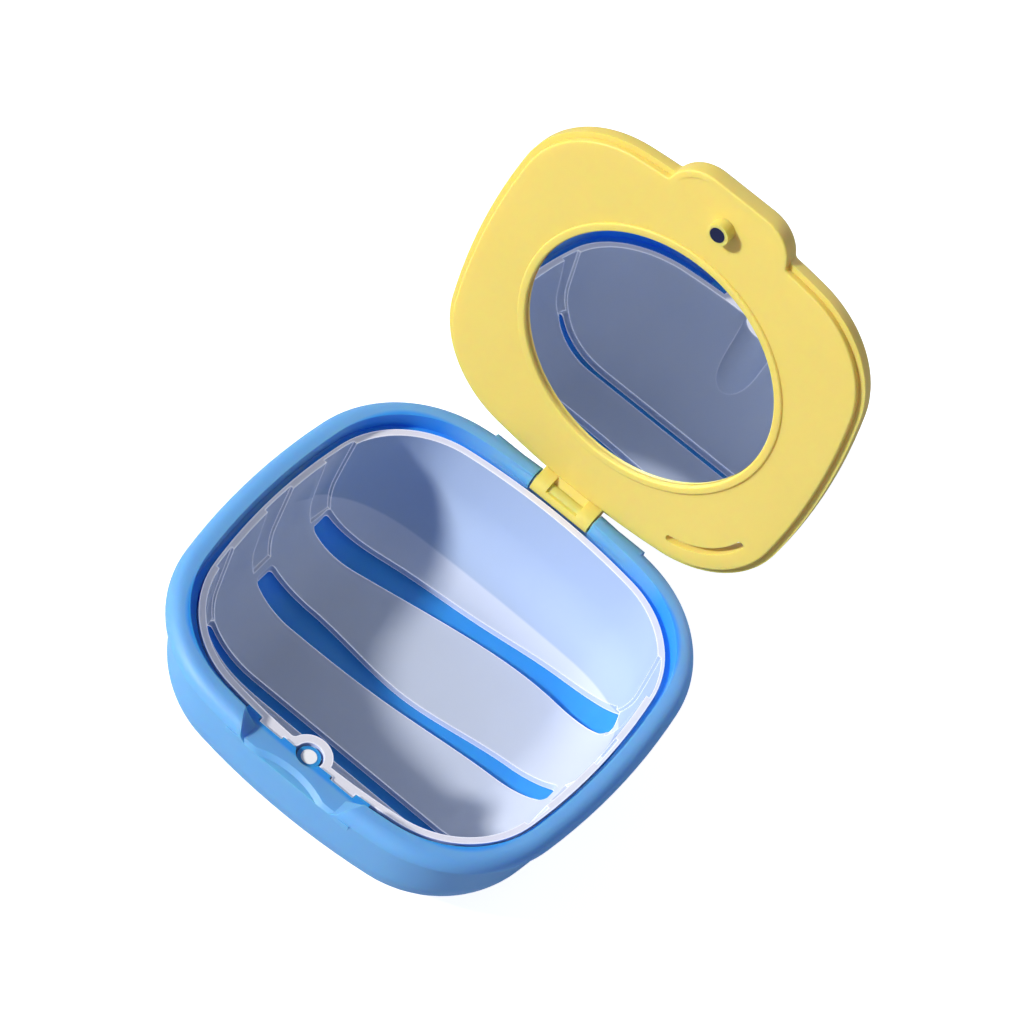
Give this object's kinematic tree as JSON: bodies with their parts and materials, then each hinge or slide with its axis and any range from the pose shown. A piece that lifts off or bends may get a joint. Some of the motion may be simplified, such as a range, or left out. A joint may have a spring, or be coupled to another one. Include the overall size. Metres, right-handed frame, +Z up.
{
  "type": "aligner case",
  "caption": "Pocket case for dental aligners: rounded base with slotted draining tray, hinged lid with mirror, magnet latch.",
  "frame": {"origin": "centre of the case outline on the flat underside of the base", "axes": "-Z out of the flat underside; +Z up through the open top; +X along the hinge pin; -Y towards the thumb tab and latch"},
  "size_m": [0.08, 0.0915, 0.1002],
  "materials": {
    "base_plastic": "satin",
    "lid_plastic": "satin",
    "tray_plastic": "frosted",
    "mirror_glass": "mirror",
    "steel": "satin",
    "magnet_plate": "polished",
    "adhesive": "matte"
  },
  "bodies": {
    "base": {"base_shell": "base_plastic", "inner_tray": "tray_plastic", "base_magnet": "magnet_plate", "hinge_pin": "steel"},
    "lid": {"lid_shell": "lid_plastic", "mirror": "mirror_glass", "mirror_adhesive": "adhesive", "lid_magnet": "magnet_plate"}
  },
  "joints": [
    {"name": "lid_hinge", "type": "hinge", "parent": "base", "child": "lid", "pos_m": [0, 0.0375, 0.023], "axis": [1, 0, 0], "range_deg": [0, 97]}
  ]
}
